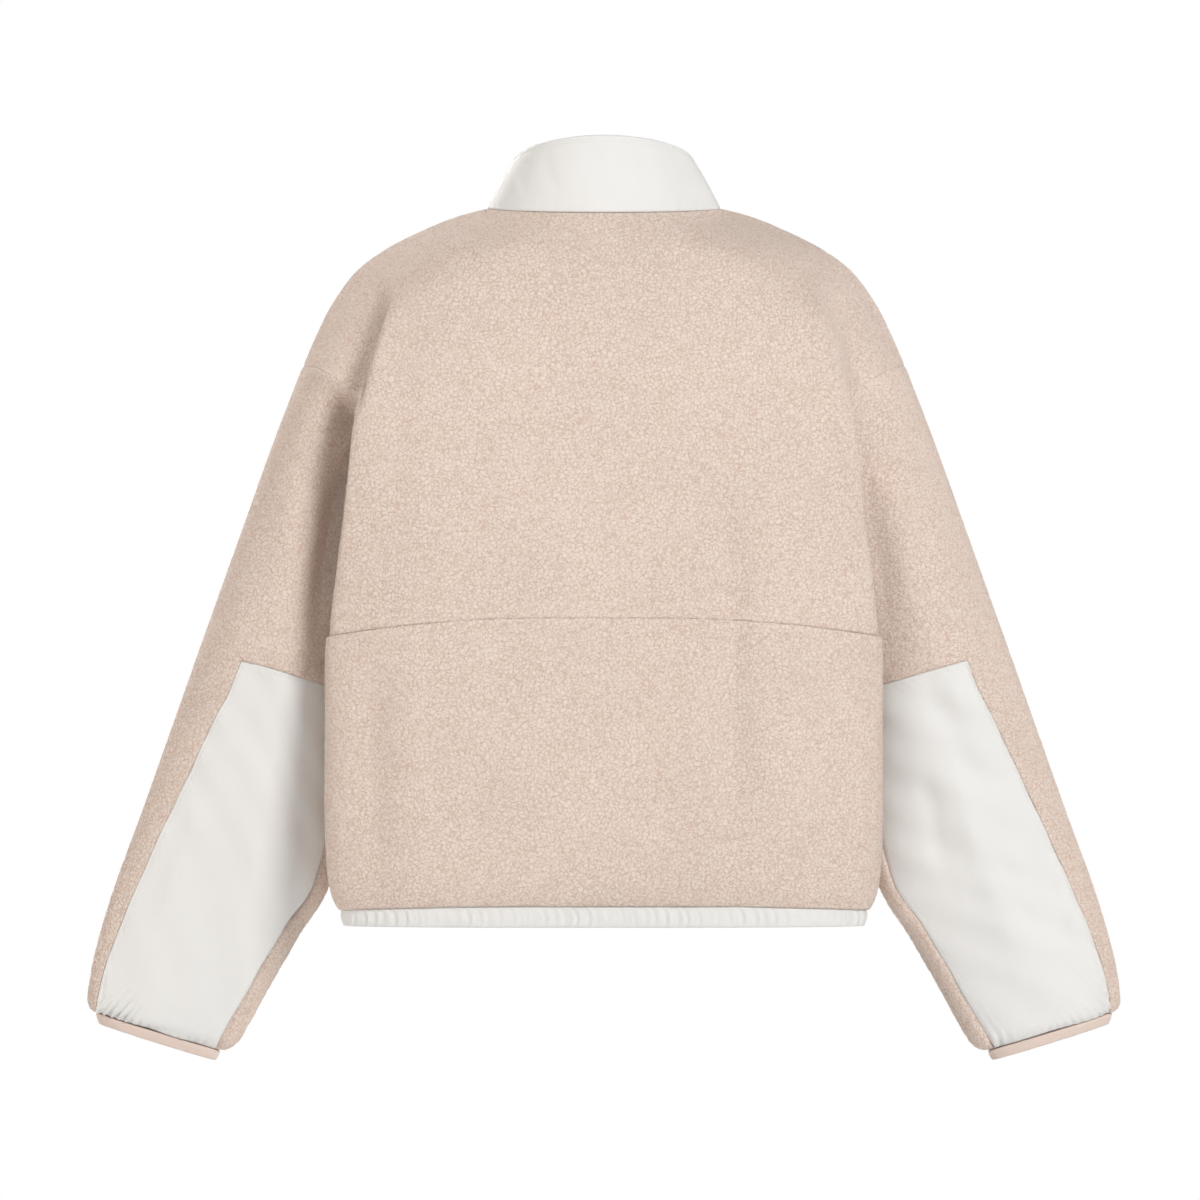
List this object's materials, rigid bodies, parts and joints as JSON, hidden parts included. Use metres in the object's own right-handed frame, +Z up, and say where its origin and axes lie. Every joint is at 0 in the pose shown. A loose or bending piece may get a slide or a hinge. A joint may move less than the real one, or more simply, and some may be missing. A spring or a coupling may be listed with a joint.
{
  "type": "fleece jacket",
  "caption": "Cropped zip-up fleece jacket with a stand collar, woven forearm panels, an elastic hem band and knit cuffs, filled out as if worn and open at neck, hem and cuffs.",
  "frame": {"origin": "midway between the two neck points of the shoulder seams, where the wearer's shoulders hold the jacket up", "axes": "+X to the wearer's left, +Y to the back, +Z up"},
  "size_m": [0.781, 0.2375, 0.6977],
  "materials": {
    "fleece": "curly sherpa fleece, pinkish beige with pale curl tips, matt",
    "woven_nylon": "smooth off-white plain-woven nylon with a slight sheen",
    "cuff_knit": "fine beige stretch knit, matt",
    "zip_tape": "beige woven tape, matt",
    "zip_plastic": "beige moulded plastic with a soft gloss"
  },
  "bodies": {
    "garment": {"back_upper": "fleece", "back_lower": "fleece", "front_left": "fleece", "front_right": "fleece", "sleeve_left": "fleece", "sleeve_right": "fleece", "forearm_panel_left": "woven_nylon", "forearm_panel_right": "woven_nylon", "collar": "woven_nylon", "hem_band": "woven_nylon", "cuff_binding_left": "cuff_knit", "cuff_binding_right": "cuff_knit", "zip_tape_left": "zip_tape", "zip_tape_right": "zip_tape", "zip_chain": "zip_plastic", "zip_box": "zip_plastic", "zip_slider": "zip_plastic"},
    "pull_tab": {"pull_tab": "zip_plastic"}
  },
  "joints": [
    {"name": "pull_tab_hinge", "type": "hinge", "parent": "garment", "child": "pull_tab", "pos_m": [0, -0.07226, 0.0066], "axis": [-1, 0, 0], "range_deg": [0, 165]}
  ]
}
